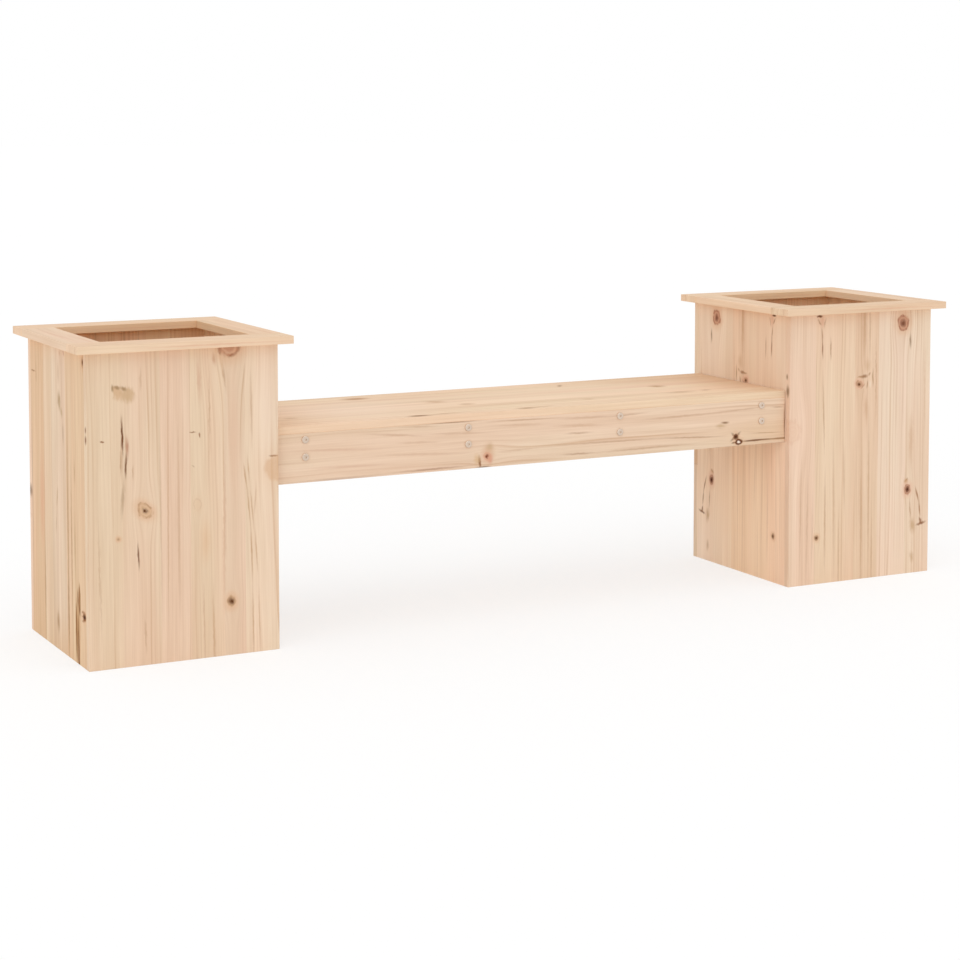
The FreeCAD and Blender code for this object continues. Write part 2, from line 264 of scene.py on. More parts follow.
class PineNodes:
    """The node groups that all pine boards share: grain, the bend of grain at a knot, a mark and a
    knot. They are made once."""

    # Inputs that the groups of a mark and of a knot share
    laid_on_board = {"Colour": "Color", "Position": "Vector", "Ripple": "Vector",
                     "Ragged": "Float", "Centre": "Vector", "Turn": "Vector", "Size": "Vector"}

    def __init__(self) -> None:
        """Make the four groups."""
        self.grain = self._make_grain()
        self.bend = self._make_bend()
        self.mark = self._make_mark()
        self.knot = self._make_knot()

    @staticmethod
    def _make_grain() -> Tree:
        """Growth rings round a pith that lies outside the board, with fibres and mottling.

        Returns:
            A group that turns a place (across, along and into the board, in millimetres) into the
            colour of the wood, the share of dark late wood and a height.
        """
        tree, given, out = new_group(
            "pine_grain",
            {"Position": "Vector", "Tint": "Color", "Key": "Float", "Late Tint": "Color",
             "Spacing": "Float", "Contrast": "Float", "Bands": "Float", "Wander": "Float"},
            {"Colour": "Color", "Late": "Float", "Height": "Float"},
        )
        add = partial(add_node, tree)
        place, key = given["Position"], given["Key"]
        own = add("Math", {0: key, 1: 91.7}, operation="MULTIPLY")
        # Slow and quick wander of the rings and how they fade, each over so many millimetres
        # across and along the grain
        noises = []
        for across, along, detail, rough in ((60, 420, 2, 0.4), (16, 260, 1, 0.5),
                                             (38, 360, 1, 0.5)):
            scaled = add("VectorMath", {0: place, 1: (1 / across, 1 / along, 1 / across)},
                         operation="MULTIPLY")
            noises.append(add("TexNoise", {"Vector": scaled, "W": own, "Scale": 1.0,
                                           "Detail": detail, "Roughness": rough},
                              noise_dimensions="4D"))
        slow, quick, fade = noises
        wander = add("Math", {0: slow, 1: given["Wander"]}, operation="MULTIPLY")
        wander = add("Math", {0: quick, 1: 6.0, 2: wander}, operation="MULTIPLY_ADD")
        # The pith of each stave lies 20 to 80 mm in front of the show face, and 90 to 330 mm left
        # of the board's edge or 450 to 690 mm right of it, because such boards are cut so that the
        # growth lines run straight. It leans by 5 mm in 100 mm along the grain
        throw = add("TexWhiteNoise", {"W": key}, noise_dimensions="1D")
        pith = add("VectorMath", {0: throw.outputs["Color"], 1: (1.0, 0.0, -60.0),
                                  2: (-0.5, 0.0, -20.0)}, operation="MULTIPLY_ADD")
        pith_parts = add("SeparateXYZ", {0: pith})
        sideways = add("Math", {0: pith_parts}, operation="SIGN")
        middle = add("Math", {0: sideways, 1: 270.0, 2: 180.0}, operation="MULTIPLY_ADD")
        pith_across = add("Math", {0: pith_parts, 1: 480.0, 2: middle},
                          operation="MULTIPLY_ADD")
        parts = add("SeparateXYZ", {0: place})
        leaning = add("Math", {0: parts.outputs["Y"], 1: 0.05, 2: parts.outputs["Z"]},
                      operation="MULTIPLY_ADD")
        down = add("Math", {0: leaning, 1: pith_parts.outputs["Z"]}, operation="SUBTRACT")
        over = add("Math", {0: parts, 1: pith_across}, operation="SUBTRACT")
        ray = add("CombineXYZ", {0: over, 1: down})
        radius = add("VectorMath", {0: ray}, operation="LENGTH")
        bowed = add("Math", {0: radius, 1: wander}, operation="ADD")
        ring = add("Math", {0: bowed, 1: given["Spacing"]}, operation="DIVIDE")
        # Each ring darkens slowly to its late wood and ends sharply, some rings more than others
        share = add("Math", {0: ring}, operation="FRACT")
        profile = add("ValToRGB", {0: share})
        ramp = profile.color_ramp
        ramp.interpolation = "EASE"
        for stop in ramp.elements:
            stop.color = (0.3, 0.3, 0.3, 1)
        for position, level in ((0.2, 0.05), (0.5, 0.35), (0.8, 1.0)):
            ramp.elements.new(position).color = (level, level, level, 1)
        number = add("Math", {0: ring}, operation="FLOOR")
        numbered = add("Math", {0: number, 1: own}, operation="ADD")
        luck = add("TexWhiteNoise", {"W": numbered}, noise_dimensions="1D")
        rare = add("Math", {0: luck, 1: 2.0}, operation="POWER")
        strong = add("MapRange", {0: rare, "To Min": 0.1})
        shown = add("MapRange", {0: fade, "From Min": 0.34, "From Max": 0.66, "To Min": 0.1},
                    interpolation_type="SMOOTHSTEP")
        late = add("Math", {0: profile, 1: strong}, operation="MULTIPLY")
        late = add("Math", {0: late, 1: shown}, operation="MULTIPLY")
        depth = add("Math", {0: late, 1: given["Contrast"]}, operation="MULTIPLY")
        # Fibres 2.5 mm wide and 140 mm long, drawn coarser than real ones so that they show
        fibre_place = add("VectorMath", {0: place, 1: (1 / 2.5, 1 / 140, 1 / 2.5)},
                          operation="MULTIPLY")
        fibre = add("TexNoise", {"Vector": fibre_place, "Scale": 1.0, "Detail": 3.0})
        # Bands of rings about 26 mm wide, and finer ones in them, where the tree grew faster or
        # slower
        band_place = add("CombineXYZ", {0: bowed, 1: parts.outputs["Y"]})
        band_place = add("VectorMath", {0: band_place, 1: (1 / 26, 1 / 900, 0.0)},
                         operation="MULTIPLY")
        band = add("TexNoise", {"Vector": band_place, "W": own, "Scale": 1.0, "Detail": 3.0,
                                "Roughness": 0.62}, noise_dimensions="4D")
        dense = add("MapRange", {0: band, "From Min": 0.3, "From Max": 0.7})
        banded = add("Mix", {SHARE: dense, LOWER: (0.88, 0.83, 0.78, 1),
                             UPPER: (1.12, 1.17, 1.22, 1)}, data_type="RGBA")
        # Broad mottling between a rosy and a straw tone, as wide as the slow wander
        mottle = add("MapRange", {0: slow, "From Min": 0.3, "From Max": 0.7},
                     interpolation_type="SMOOTHSTEP")
        tone = add("Mix", {SHARE: mottle, LOWER: (1.0, 0.965, 0.945, 1),
                           UPPER: (0.99, 1.012, 0.985, 1)}, data_type="RGBA")
        wood = given["Tint"]
        for much, tint in ((1.0, tone), (given["Bands"], banded), (depth, given["Late Tint"])):
            wood = add("Mix", {SHARE: much, LOWER: wood, UPPER: tint}, data_type="RGBA",
                       blend_type="MULTIPLY")
        streaky = add("MapRange", {0: fibre, "From Min": 0.3, "From Max": 0.7})
        streaks = add("Mix", {SHARE: streaky, LOWER: (0.955, 0.94, 0.925, 1),
                              UPPER: (1.035, 1.05, 1.065, 1)}, data_type="RGBA")
        wood = add("VectorMath", {0: wood, 1: streaks}, operation="MULTIPLY")
        height = add("Math", {0: fibre, 1: 0.5, 2: late}, operation="MULTIPLY_ADD")
        feed(tree, out, {"Colour": wood, "Late": late, "Height": height})
        return tree

    @staticmethod
    def _make_bend() -> Tree:
        """How the grain parts round a knot.

        Returns:
            A group that moves a place sideways towards a knot's middle line, so that the grain
            which is drawn for it runs round the knot on both sides.
        """
        tree, given, out = new_group(
            "grain_bend",
            {"Position": "Vector", "Centre": "Vector", "Size": "Vector", "Push": "Float"},
            {"Position": "Vector"},
        )
        add = partial(add_node, tree)
        local = add("Mapping", {"Vector": given["Position"], "Location": given["Centre"],
                                "Scale": given["Size"]}, vector_type="TEXTURE")
        square = add("VectorMath", {0: local, 1: local}, operation="DOT_PRODUCT")
        less = add("Math", {0: square, 1: -1.0}, operation="MULTIPLY")
        bell = add("Math", {0: less}, operation="EXPONENT")
        push = add("Math", {0: bell, 1: given["Push"]}, operation="MULTIPLY")
        parts = add("SeparateXYZ", {0: local})
        aside = add("Math", {0: parts, 1: push}, operation="MULTIPLY")
        step = add("CombineXYZ", {0: aside})
        moved = add("VectorMath", {0: given["Position"], 1: step}, operation="SUBTRACT")
        feed(tree, out, {"Position": moved})
        return tree

    @staticmethod
    def _add_distance(add: Adder, given: Any) -> Node:
        """How far a place is from the middle of a mark or a knot, whose rim is at 1.

        Args:
            add: Adds a node to the group of the mark or the knot.
            given: What the group is given.

        Returns:
            The node that gives the distance.
        """
        spread = add("VectorMath", {0: given["Ripple"], "Scale": given["Ragged"]},
                     operation="SCALE")
        moved = add("VectorMath", {0: given["Position"], 1: spread}, operation="ADD")
        local = add("Mapping", {"Vector": moved, "Location": given["Centre"],
                                "Rotation": given["Turn"], "Scale": given["Size"]},
                    vector_type="TEXTURE")
        return add("VectorMath", {0: local}, operation="LENGTH")

    def _make_mark(self) -> Tree:
        """A stain, streak or crack as an ellipse with a soft and ragged edge.

        Returns:
            A group that paints the mark over a colour.
        """
        tree, given, out = new_group(
            "pine_mark",
            {**self.laid_on_board, "Inner": "Float", "Strength": "Float", "Tint": "Color"},
            {"Colour": "Color"},
        )
        add = partial(add_node, tree)
        away = self._add_distance(add, given)
        cover = add("MapRange", {0: away, "From Min": given["Inner"],
                                 "To Min": given["Strength"], "To Max": 0.0},
                    interpolation_type="SMOOTHSTEP")
        painted = add("Mix", {SHARE: cover, LOWER: given["Colour"], UPPER: given["Tint"]},
                      data_type="RGBA")
        feed(tree, out, {"Colour": painted})
        return tree

    def _make_knot(self) -> Tree:
        """A knot: halo, filled disc with its own rings, outline and core, one over the other.

        Returns:
            A group that paints the knot over a colour.
        """
        tree, given, out = new_group(
            "pine_knot",
            {**self.laid_on_board, "Halo": "Color", "Halo Strength": "Float", "Fill": "Color",
             "Fill Strength": "Float", "Ring Floor": "Float", "Outline": "Color",
             "Outline Strength": "Float", "Core": "Color", "Core Share": "Float",
             "Core Strength": "Float"},
            {"Colour": "Color"},
        )
        add = partial(add_node, tree)
        near = self._add_distance(add, given)
        # The outline is broken, stronger on some stretches than on others
        luck = add("SeparateXYZ", {0: given["Ripple"]})
        patchy = add("MapRange", {0: luck.outputs["Z"], "From Min": -0.12, "From Max": 0.08,
                                  "To Min": 0.15}, interpolation_type="SMOOTHSTEP")
        drawn = add("Math", {0: given["Outline Strength"], 1: patchy}, operation="MULTIPLY")
        off = add("Math", {0: near, 1: 0.95}, operation="SUBTRACT")
        off = add("Math", {0: off}, operation="ABSOLUTE")
        soft_core = add("Math", {0: given["Core Share"], 1: 0.1}, operation="MULTIPLY")
        halo, disc, line, core = (
            add("MapRange", {0: away, "From Min": inner, "From Max": outer, "To Min": strength,
                             "To Max": 0.0}, interpolation_type="SMOOTHSTEP")
            for away, inner, outer, strength in (
                (near, 0.8, 2.2, given["Halo Strength"]),
                (near, 0.75, 1.1, given["Fill Strength"]),
                (off, 0.0, 0.26, drawn),
                (near, soft_core, given["Core Share"], given["Core Strength"]))
        )
        # Two or three rings inside the knot
        turns = add("Math", {0: near, 1: 17.0}, operation="MULTIPLY")
        wave = add("Math", {0: turns}, operation="SINE")
        rings = add("MapRange", {0: wave, "From Min": -1.0, "To Min": given["Ring Floor"]})
        disc = add("Math", {0: disc, 1: rings}, operation="MULTIPLY")
        colour = given["Colour"]
        for cover, tint in ((halo, "Halo"), (disc, "Fill"), (line, "Outline"), (core, "Core")):
            colour = add("Mix", {SHARE: cover, LOWER: colour, UPPER: given[tint]},
                         data_type="RGBA")
        feed(tree, out, {"Colour": colour})
        return tree


@dataclass(frozen=True)
class PlanedPine:
    """Pine boards, planed and sanded, without oil or lacquer: pale straw with rosy bands, soft
    growth lines and small knots, and matt because the pores are open."""

    nodes: PineNodes
    name: str
    face: Face
    grain: Grain
    look: PineLook
    late_tint: str = "DCC7B2"
    spacing: float = 7.0
    contrast: float = 0.65
    bands: float = 0.5
    wander: float = 14.0
    roughness: float = 0.7
    gloss: float = 0.1
    end_tint: str = "FBF6F0"
    inner_tint: str = "FFDCB8"

    def place(self, add: Adder, low: Vector, high: Vector) -> Node:
        """Turn the object's coordinates to millimetres across, along and into the board.

        Args:
            add: Adds a node to the material.
            low: The board's lowest corner in metres.
            high: The board's highest corner in metres.

        Returns:
            The node that gives the place.
        """
        where = add("TexCoord")
        parts = add("SeparateXYZ", {0: where.outputs["Object"]})
        ways = []
        for axis, sign in self.face.value:
            corner = low[axis] if sign > 0 else high[axis]
            ways.append(add("Math", {0: parts.outputs[axis], 1: sign * MM_PER_METRE,
                                     2: -sign * corner * MM_PER_METRE},
                            operation="MULTIPLY_ADD"))
        across, along = self.order(ways[0], ways[1])
        return add("CombineXYZ", {0: across, 1: along, 2: ways[2]})

    def order(self, right: Any, down: Any) -> tuple[Any, Any]:
        """Put a pair given as (right, down) in the order across the grain, along the grain."""
        return (right, down) if self.grain is Grain.DOWN else (down, right)

    def staves(self, add: Adder, place: Node) -> Any:
        """Pick the tint and the grain key of the stave at a place.

        Args:
            add: Adds a node to the material.
            place: The place on the board.

        Returns:
            The sockets of the tint and of the key.
        """
        total = sum(stave.width for stave in self.look.staves)
        parts = add("SeparateXYZ", {0: place})
        share = add("Math", {0: parts, 1: total}, operation="DIVIDE")
        picked = add("ValToRGB", {0: share})
        ramp = picked.color_ramp
        ramp.interpolation = "CONSTANT"
        ramp.elements.remove(ramp.elements[1])
        start = 0.0
        for number, stave in enumerate(self.look.staves):
            stop = ramp.elements[0] if number == 0 else ramp.elements.new(start / total)
            stop.color = (*linear(stave.tint)[:3], stave.grain)
            start += stave.width
        return picked.outputs

    def bend(self, add: Adder, place: Node) -> Node:
        """Part the grain round all the knots.

        Args:
            add: Adds a node to the material.
            place: The place on the board.

        Returns:
            The place in the grain as it would run without knots.
        """
        # A knot parts the grain within 1.8 of its radii across and 4 of them along
        for knot in self.look.knots:
            place = add("Group", {
                "Position": place, "Centre": (*self.order(*knot.at), 0.0),
                "Size": (knot.radius * 1.8, knot.radius * 4.0, THROUGH),
                "Push": knot.bend * knot.radius * 1.5}, node_tree=self.nodes.bend)
        return place

    def painted(self, add: Adder, place: Node, colour: Any) -> Node:
        """Paint the marks and the knots over the bare grain.

        Args:
            add: Adds a node to the material.
            place: The place on the board.
            colour: The colour of the bare grain.

        Returns:
            The finished colour.
        """
        # What makes the edges of marks and of knots uneven, by its width and length in mm
        shakes = []
        for across, along, detail in ((3.5, 14, 2.0), (9, 15, 3.0)):
            scaled = add("VectorMath", {0: place, 1: (1 / across, 1 / along, 1 / across)},
                         operation="MULTIPLY")
            noise = add("TexNoise", {"Vector": scaled, "Scale": 1.0, "Detail": detail})
            shakes.append(add("VectorMath", {0: noise.outputs["Color"], 1: (0.5, 0.5, 0.5)},
                              operation="SUBTRACT"))
        ripple, swell = shakes
        for mark in self.look.marks:
            from_across, from_along = self.order(*mark.start)
            to_across, to_along = self.order(*mark.end)
            length = math.hypot(to_across - from_across, to_along - from_along)
            turn = -math.atan2(to_across - from_across, to_along - from_along)
            middle = ((from_across + to_across) / 2, (from_along + to_along) / 2, mark.depth)
            colour = add("Group", {
                "Colour": colour, "Position": place, "Ripple": ripple,
                "Ragged": mark.ragged * 2, "Centre": middle, "Turn": (0.0, 0.0, turn),
                "Size": (mark.width / 2, length / 2, mark.reach), "Inner": 1 - mark.softness,
                "Strength": mark.strength, "Tint": linear(mark.colour)},
                node_tree=self.nodes.mark)
        # The rim of a knot is uneven by its radius, but no more than that of a 12 mm knot
        for knot in self.look.knots:
            colour = add("Group", {
                "Colour": colour, "Position": place, "Ripple": swell,
                "Ragged": min(knot.radius, 12.0) * 0.9,
                "Centre": (*self.order(*knot.at), 0.0), "Turn": (0.0, 0.0, knot.turn),
                "Size": (knot.radius, knot.radius * knot.stretch, THROUGH),
                "Halo": linear(knot.halo), "Halo Strength": knot.halo_strength,
                "Fill": linear(knot.fill), "Fill Strength": knot.fill_strength,
                "Ring Floor": 1 - 0.45 * knot.rings,
                "Outline": linear(knot.outline), "Outline Strength": knot.outline_strength,
                "Core": linear(knot.core), "Core Share": knot.core_share,
                "Core Strength": knot.core_strength}, node_tree=self.nodes.knot)
        return colour

    def material(self, low: Vector, high: Vector) -> bpy.types.Material:
        """Make the board's material.

        Args:
            low: The board's lowest corner in metres.
            high: The board's highest corner in metres.

        Returns:
            The material.
        """
        made, tree, shader = new_material(self.name)
        add = partial(add_node, tree)
        place = self.place(add, low, high)
        tint, key = self.staves(add, place)
        facing = add("TexCoord")
        normal = add("SeparateXYZ", {0: facing.outputs["Normal"]})
        # The hidden face of a board, such as the inside of a planter, is redder and lighter: painted
        # light that stands in for the warm light bouncing about inside
        axis, sign = self.face.value[2]
        hidden = add("MapRange", {0: normal.outputs[axis], "From Min": sign * 0.5,
                                  "From Max": sign * 0.9})
        tint = add("Mix", {SHARE: hidden, LOWER: tint, UPPER: linear(self.inner_tint)},
                   data_type="RGBA")
        wood = add("Group", {
            "Position": self.bend(add, place), "Tint": tint, "Key": key,
            "Late Tint": linear(self.late_tint), "Spacing": self.spacing,
            "Contrast": self.contrast, "Bands": self.bands, "Wander": self.wander},
            node_tree=self.nodes.grain)
        colour = self.painted(add, place, wood)
        # Cut ends drink in more light than the faces do, so they are a shade darker
        axis = self.face.value[1 if self.grain is Grain.DOWN else 0][0]
        square = add("Math", {0: normal.outputs[axis]}, operation="ABSOLUTE")
        end = add("MapRange", {0: square, "From Min": 0.6, "From Max": 0.9})
        finished = add("Mix", {SHARE: end, LOWER: colour, UPPER: linear(self.end_tint)},
                       data_type="RGBA", blend_type="MULTIPLY", clamp_result=True)
        # Late wood is harder and planes smoother than the open early wood
        smooth = add("MapRange", {0: wood.outputs["Late"], "To Min": self.roughness,
                                  "To Max": self.roughness - 0.1})
        relief = add("Bump", {"Strength": 0.3, "Distance": 0.0002,
                              "Height": wood.outputs["Height"]})
        feed(tree, shader, {"Base Color": finished, "Roughness": smooth, "Normal": relief,
                            "Specular IOR Level": self.gloss})
        return made


@dataclass(frozen=True)
class ZincPlatedSteel:
    """Steel screws with a zinc coat: a pale neutral grey, brushed by the tumbling drum, so the
    highlights are broad and slightly cloudy. Where a head meets its board, board_face mm from the
    middle of the bench, the coat is darker within a fraction of a millimetre of the board: dust
    and wood tar, and painted contact shade."""

    name: str = "zinc_plated_steel"
    bright: str = "E6D3C2"
    dull: str = "D3BFAC"
    grime: str = "B89C82"
    cloud: float = 3.0
    roughness: float = 0.36
    board_face: float = 0.0
    grime_height: float = 0.45

    def material(self) -> bpy.types.Material:
        """Make the metal's material.

        Returns:
            The material.
        """
        made, tree, shader = new_material(self.name)
        add = partial(add_node, tree)
        where = add("TexCoord")
        clouds = add("TexNoise", {"Vector": where.outputs["Object"],
                                  "Scale": MM_PER_METRE / self.cloud, "Detail": 3.0})
        tone = add("Mix", {SHARE: clouds, LOWER: linear(self.bright),
                           UPPER: linear(self.dull)}, data_type="RGBA")
        if self.board_face:
            # Painted contact shade and dust: darker where the head meets its board
            parts = add("SeparateXYZ", {0: where.outputs["Object"]})
            depth = add("Math", {0: parts.outputs["Y"]}, operation="ABSOLUTE")
            low = self.board_face / MM_PER_METRE
            grimy_and_shaded = add("MapRange", {0: depth, "From Min": low, "To Min": 1.0, "To Max": 0.0,
                                     "From Max": low + self.grime_height / MM_PER_METRE},
                        interpolation_type="SMOOTHSTEP")
            tone = add("Mix", {SHARE: grimy_and_shaded, LOWER: tone, UPPER: linear(self.grime)},
                       data_type="RGBA")
        blur = add("MapRange", {0: clouds, "To Min": self.roughness - 0.08,
                                "To Max": self.roughness + 0.12})
        relief = add("Bump", {"Strength": 0.15, "Distance": 0.0001, "Height": clouds})
        feed(tree, shader, {"Base Color": tone, "Roughness": blur, "Normal": relief,
                            "Metallic": 1.0})
        return made


@dataclass(frozen=True)
class TurnedBeech:
    """Beech dowels: an even reddish tan with short dark flecks."""

    name: str = "turned_beech"
    tint: str = "D8AE86"
    fleck: str = "A97A55"
    fleck_width: float = 0.6
    fleck_length: float = 3.0

    def material(self) -> bpy.types.Material:
        """Make the dowels' material.

        Returns:
            The material.
        """
        made, tree, shader = new_material(self.name)
        add = partial(add_node, tree)
        where = add("TexCoord")
        across, along = MM_PER_METRE / self.fleck_width, MM_PER_METRE / self.fleck_length
        scaled = add("VectorMath", {0: where.outputs["Object"], 1: (across, across, along)},
                     operation="MULTIPLY")
        flecks = add("TexNoise", {"Vector": scaled, "Scale": 1.0, "Detail": 2.0})
        shown = add("MapRange", {0: flecks, "From Min": 0.52, "From Max": 0.7, "To Max": 0.6})
        tone = add("Mix", {SHARE: shown, LOWER: linear(self.tint),
                           UPPER: linear(self.fleck)}, data_type="RGBA")
        blur = add("MapRange", {0: flecks, "To Min": 0.5, "To Max": 0.62})
        feed(tree, shader, {"Base Color": tone, "Roughness": blur})
        return made


# Wood tones of the marks: a tan stain, a darker growth streak, a brown edge and an open crack
TAN = "CCA277"
STREAK = "B58A66"
BROWN = "865028"
CRACK = "663208"

LEFT_FRONT_LOOK = PineLook(
    staves=(
        Stave(62, "E9CEB3", 0.13), Stave(70, "E9CEB4", 0.61), Stave(54, "E9CDB4", 0.27),
        Stave(62, "E9CEB3", 0.83), Stave(40, "E8CCB3", 0.41), Stave(64, "EDD4BB", 0.94),
    ),
    marks=(
        Mark((335, -20), (335, 250), 90, "F4DEC9", 0.4, 0),
        Mark((60, -40), (60, 590), 44, "DABB9A", 0.3, 3),
        Mark((54, 54), (58, 88), 24, TAN, 0.6, 7, 0.7),
        Mark((72, 58), (76, 94), 34, "C4A074", 0.62, 7, 0.6),
        Mark((46, 54), (48, 72), 7, "9A7850", 0.75, 2, 0.8),
        Mark((47, 60), (64, 64), 10, "9A7850", 0.7, 2, 0.8),
        Mark((60, 61), (74, 68), 10, "9A7850", 0.75, 2, 0.8),
        Mark((63, 88), (62, 250), 7, STREAK, 0.45, 3),
        Mark((71, 140), (73, 192), 9, "A8684A", 0.65, 2, 0.9),
        Mark((67, 205), (60, 305), 10, "AC8E70", 0.6, 2),
        Mark((60, 165), (60, 220), 5, "A87C54", 0.55, 2, 0.9),
        Mark((82, 192), (82, 230), 5, "BC9472", 0.55, 2),
        Mark((62, 104), (65, 190), 6, CRACK, 0.92, 2.5, 0.8),
        Mark((71, 168), (68, 228), 6.5, "6E3E18", 0.85, 2, 0.8),
        Mark((22, 153), (33, 156), 5.5, BROWN, 0.85, 2, 0.8),
        Mark((0, 124), (0, 142), 4, BROWN, 0.8, 0.5, 0.9, 5, 6),
        Mark((0, 138), (0, 162), 4, BROWN, 0.85, 0.5, 0.9, 5, 7),
        Mark((183, 148), (200, 149), 4, BROWN, 0.7, 2, 0.8),
        Mark((203, 148), (205, 161), 4, BROWN, 0.75, 2, 0.8),
        Mark((188, 206), (196, 212), 3.5, BROWN, 0.35, 2, 0.9),
        Mark((89, 326), (92, 390), 5.5, CRACK, 0.85, 1.5, 0.9),
        Mark((98, 20), (97, 80), 7, STREAK, 0.35, 3),
        Mark((130, 60), (134, 545), 6, STREAK, 0.35),
        Mark((146, 100), (144, 545), 5, STREAK, 0.35),
        Mark((163, 60), (166, 545), 7, STREAK, 0.3),
        Mark((202, 0), (206, 110), 12, "C8967A", 0.45, 4),
        Mark((230, 4), (234, 40), 10, "C08A68", 0.55, 3),
        Mark((223, 0), (222, 230), 5, STREAK, 0.35, 3),
        Mark((245, 10), (256, 95), 7, STREAK, 0.5, 3),
        Mark((252, 100), (246, 545), 9, "C79878", 0.45, 3),
        Mark((267, -10), (268, 330), 38, "DFB296", 0.35, 3, 0.9),
        Mark((252, 17), (272, 15), 7, "7A3C22", 0.8, 2, 0.9),
        Mark((284, 200), (294, 270), 5, "BC9068", 0.65, 1.2),
        Mark((291, 240), (299, 335), 5, "BC9068", 0.65, 1.2),
        Mark((298, 300), (302, 440), 5, "BC9068", 0.65, 1.2),
        Mark((301, 400), (303, 600), 5, "BC9068", 0.6, 1.2),
        Mark((292, 186), (298, 260), 5, "C49A74", 0.6, 1.2),
        Mark((296, 235), (306, 345), 5, "C49A74", 0.6, 1.2),
        Mark((305, 310), (313, 430), 5, "C49A74", 0.6, 1.2),
        Mark((312, 395), (316, 600), 5, "C49A74", 0.55, 1.2),
        Mark((311, 232), (304, 320), 5, "C8A280", 0.5, 1.2),
        Mark((214, 285), (213, 400), 30, "DBAE84", 0.4, 4),
        Mark((300, 20), (302, 205), 7, STREAK, 0.45),
        Mark((330, 201), (356, 201), 5, BROWN, 0.8, 1.5, 0.8),
        Mark((208, 380), (212, 600), 6, "C49A7A", 0.5, 2),
        Mark((226, 400), (230, 620), 7, "C0946E", 0.55, 2),
        Mark((100, 450), (104, 545), 6, STREAK, 0.4, 3),
        Mark((18, 250), (24, 545), 6, STREAK, 0.35, 3),
    ),
    knots=(
        Knot((103, 279), 10.5, 1.5, -0.85, fill="C8A076", outline="9A6A42"),
        Knot((261, 455), 8.5, 1.3, fill="A87C50", outline_strength=0.0, core_share=0.9, rings=0.3),
        Knot((260, -1), 20, 1.05, fill="C28A6C", fill_strength=0.7, outline="8A4A2E",
             core="A35B3E", core_share=0.6, core_strength=0.5),
        Knot((350, 224), 27, 0.92, fill="D9B08A", fill_strength=0.62, rings=0.15,
             outline_strength=0.0, core_strength=0.0, halo_strength=0.1, bend=0.3),
        Knot((199, 277), 7, 1.6, fill="DDB890", fill_strength=0.1, outline="C09A7A",
             outline_strength=0.22, core_strength=0.0, halo_strength=0.1),
        Knot((55, 325), 4, 1.0, core_share=0.9, core="8A6A4C", core_strength=0.5,
             outline_strength=0.0, fill_strength=0.2),
    ),
)

SIDE_LOOK = PineLook(
    staves=(
        Stave(82, "E4C2A0", 0.57), Stave(48, "E8CDB0", 0.72), Stave(85, "EACFB6", 0.07),
        Stave(35, "E3C3A3", 0.52), Stave(74, "E7C7A6", 0.24),
    ),
    marks=(
        Mark((20, 330), (20, 720), 180, "D4AC84", 0.35, 0),
        Mark((210, 450), (210, 680), 300, "DCB080", 0.35, 0),
        Mark((68, 170), (66, 420), 44, "DDA585", 0.5, 6),
        Mark((80, 330), (80, 560), 14, "B78F6C", 0.65, 3),
        Mark((4, -5), (4, 560), 10, "C3A796", 0.7, 3),
        Mark((1, 280), (1, 302), 5, BROWN, 0.8, 1.5, 0.9),
        Mark((-2, 64), (38, 64), 5, BROWN, 0.7, 2),
        Mark((37, 30), (37, 95), 7, STREAK, 0.6, 3),
        Mark((176, 76), (182, 124), 26, "B09068", 0.75, 6, 0.8),
        Mark((188, 104), (196, 134), 18, "B8996F", 0.6, 5, 0.9),
        Mark((198, 130), (204, 184), 16, "B99A80", 0.55, 4),
        Mark((174, 20), (176, 82), 16, "C9A684", 0.5, 4),
        Mark((166, 250), (156, 300), 11, "B79873", 0.6, 4),
        Mark((156, 296), (150, 350), 8, "B79873", 0.5, 4),
        Mark((204, 6), (214, 20), 12, "B98468", 0.6, 4, 0.9),
        Mark((184, 10), (184, 22), 9, "C49070", 0.5, 4, 0.9),
        Mark((223, 60), (225, 560), 15, "B08A64", 0.7, 3),
        Mark((222, 350), (224, 600), 14, "9A7048", 0.7, 3),
        Mark((244, 140), (246, 560), 11, "B48D68", 0.7, 3),
        Mark((265, 185), (267, 245), 13, "BD9A74", 0.6, 3),
        Mark((263, 265), (266, 430), 14, "BD9A74", 0.55, 3),
        Mark((280, 390), (276, 575), 44, "C08E58", 0.7, 5),
        Mark((287, 400), (287, 468), 14, "94622E", 0.85, 2, 0.5),
        Mark((288, 442), (289, 468), 10, "6E4216", 0.8, 2, 0.8),
        Mark((277, 412), (278, 462), 9, "86542A", 0.75, 2, 0.7),
        Mark((279, 440), (281, 660), 11, "7E4A1C", 0.9, 2, 0.6),
        Mark((267, 430), (269, 560), 12, "8E5C2A", 0.88, 2, 0.5),
        Mark((294, 455), (324, 452), 7, BROWN, 0.85, 2, 0.8),
        Mark((294, 462), (320, 460), 4.5, BROWN, 0.6, 2, 0.8),
        Mark((296, 471), (328, 464), 7, BROWN, 0.8, 2, 0.8),
        Mark((158, 472), (160, 528), 26, "A9825C", 0.7, 5),
    ),
    knots=(
        Knot((321, 17), 9, 1.2, core_share=0.85, core="6E4420", outline_strength=0.1),
        Knot((316, 461), 10, 0.75, core_share=1.0, core="421A00", core_strength=1.0, fill="96602C",
             fill_strength=0.9, outline_strength=0.3),
    ),
)

